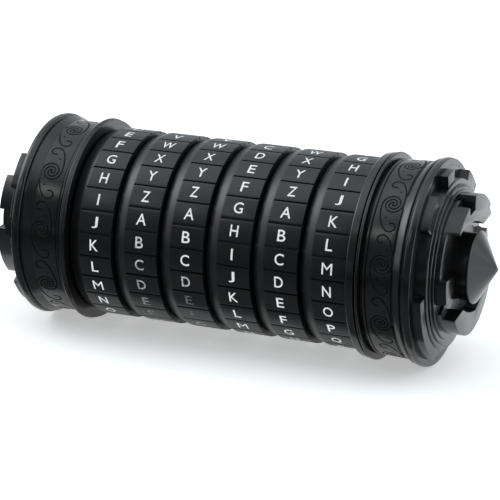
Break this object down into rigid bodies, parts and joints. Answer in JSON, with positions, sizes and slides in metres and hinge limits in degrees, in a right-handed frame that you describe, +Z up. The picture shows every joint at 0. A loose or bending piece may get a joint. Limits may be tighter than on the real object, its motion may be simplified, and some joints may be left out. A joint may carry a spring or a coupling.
{
  "type": "cryptex puzzle",
  "caption": "Letter-lock puzzle cylinder with turning letter rings on a slotted sleeve, engraved end bands, stepped caps with cone tips, and an inner tube that slides out of one end.",
  "frame": {"origin": "middle of the axis, halfway between the two cone tips", "axes": "+X along the axis towards the end that slides out, +Z up, -Y towards the reader of the letters; the object lies on its side"},
  "size_m": [0.1284, 0.05, 0.05],
  "materials": {
    "ring_metal": "blackened, satin, with white filled letters",
    "band_metal": "blackened and polished, cast scroll relief",
    "cap_metal": "blackened casting, worn on its flat faces",
    "finial_metal": "blackened and polished",
    "sleeve_metal": "blackened, turned and drawn smooth",
    "inner_ring_metal": "blackened, as machined",
    "nut_metal": "plain steel, as machined"
  },
  "bodies": {
    "sleeve": {"outer_sleeve": "sleeve_metal", "end_collar": "band_metal", "left_end_band": "band_metal", "left_end_cap": "cap_metal", "left_finial": "finial_metal", "left_end_plug": "inner_ring_metal", "left_stud_nut": "nut_metal"},
    "ring_1": {"letter_ring_1": "ring_metal", "code_ring_1": "inner_ring_metal"},
    "ring_2": {"letter_ring_2": "ring_metal", "code_ring_2": "inner_ring_metal"},
    "ring_3": {"letter_ring_3": "ring_metal", "code_ring_3": "inner_ring_metal"},
    "ring_4": {"letter_ring_4": "ring_metal", "code_ring_4": "inner_ring_metal"},
    "ring_5": {"letter_ring_5": "ring_metal", "code_ring_5": "inner_ring_metal"},
    "ring_6": {"letter_ring_6": "ring_metal", "code_ring_6": "inner_ring_metal"},
    "drawer": {"inner_tube": "sleeve_metal", "lock_lugs": "nut_metal", "right_end_band": "band_metal", "right_end_cap": "cap_metal", "right_finial": "finial_metal", "right_end_plug": "inner_ring_metal", "right_stud_nut": "nut_metal"}
  },
  "joints": [
    {"name": "ring_1_turn", "type": "hinge", "parent": "sleeve", "child": "ring_1", "pos_m": [0, 0, 0], "axis": [1, 0, 0], "continuous": true},
    {"name": "ring_2_turn", "type": "hinge", "parent": "sleeve", "child": "ring_2", "pos_m": [0, 0, 0], "axis": [1, 0, 0], "continuous": true},
    {"name": "ring_3_turn", "type": "hinge", "parent": "sleeve", "child": "ring_3", "pos_m": [0, 0, 0], "axis": [1, 0, 0], "continuous": true},
    {"name": "ring_4_turn", "type": "hinge", "parent": "sleeve", "child": "ring_4", "pos_m": [0, 0, 0], "axis": [1, 0, 0], "continuous": true},
    {"name": "ring_5_turn", "type": "hinge", "parent": "sleeve", "child": "ring_5", "pos_m": [0, 0, 0], "axis": [1, 0, 0], "continuous": true},
    {"name": "ring_6_turn", "type": "hinge", "parent": "sleeve", "child": "ring_6", "pos_m": [0, 0, 0], "axis": [1, 0, 0], "continuous": true},
    {"name": "drawer_slide", "type": "slide", "parent": "sleeve", "child": "drawer", "axis": [1, 0, 0], "range_m": [0, 0.085]}
  ]
}
